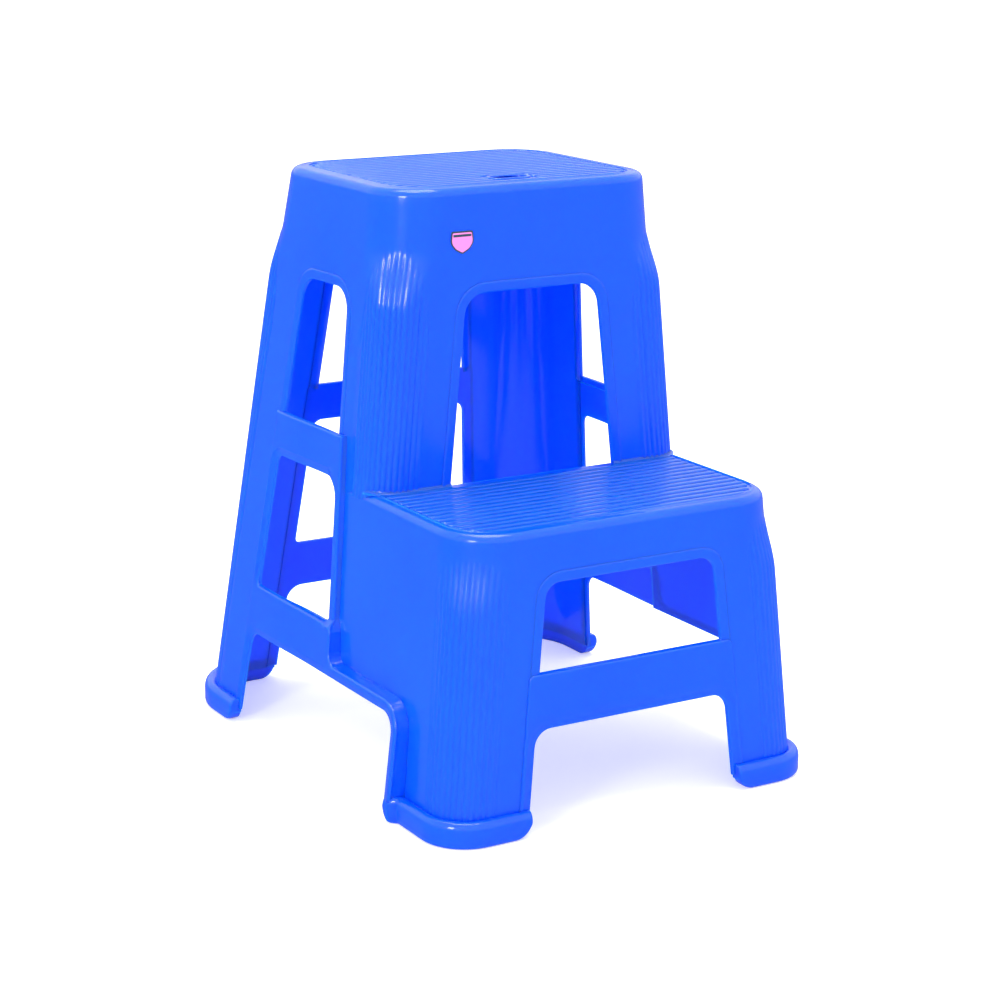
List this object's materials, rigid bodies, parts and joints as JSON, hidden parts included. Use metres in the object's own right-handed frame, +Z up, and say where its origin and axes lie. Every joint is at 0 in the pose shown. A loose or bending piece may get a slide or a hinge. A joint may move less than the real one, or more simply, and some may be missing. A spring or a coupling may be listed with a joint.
{
  "type": "mounting block",
  "caption": "Two-step moulded plastic stool used as a mounting block: tall rear tier, low front tier, ribbed treads, fluted legs and open walls.",
  "frame": {"origin": "on the floor, under the centre of the stool's bounding box", "axes": "+Z up, -Y towards the low front step, X across the width, with the moulding symmetric about X = 0"},
  "size_m": [0.3552, 0.4296, 0.45],
  "materials": {
    "moulding": "glossy blue polypropylene",
    "label": "pink printed film"
  },
  "bodies": {
    "root": {"upper_tread": "moulding", "upper_tread_ribs": "moulding", "upper_front_apron": "moulding", "upper_back_apron": "moulding", "upper_left_apron": "moulding", "upper_right_apron": "moulding", "upper_front_left_leg": "moulding", "upper_front_right_leg": "moulding", "rear_left_leg": "moulding", "rear_right_leg": "moulding", "left_mid_stretcher": "moulding", "left_low_stretcher": "moulding", "right_mid_stretcher": "moulding", "right_low_stretcher": "moulding", "rear_mid_stretcher": "moulding", "rear_low_stretcher": "moulding", "left_mid_post": "moulding", "right_mid_post": "moulding", "step_tread": "moulding", "step_tread_ribs": "moulding", "step_front_apron": "moulding", "front_stretcher": "moulding", "step_left_panel": "moulding", "step_right_panel": "moulding", "step_left_leg": "moulding", "step_right_leg": "moulding", "front_left_foot": "moulding", "front_right_foot": "moulding", "rear_left_foot": "moulding", "rear_right_foot": "moulding", "front_label": "label"}
  },
  "joints": []
}
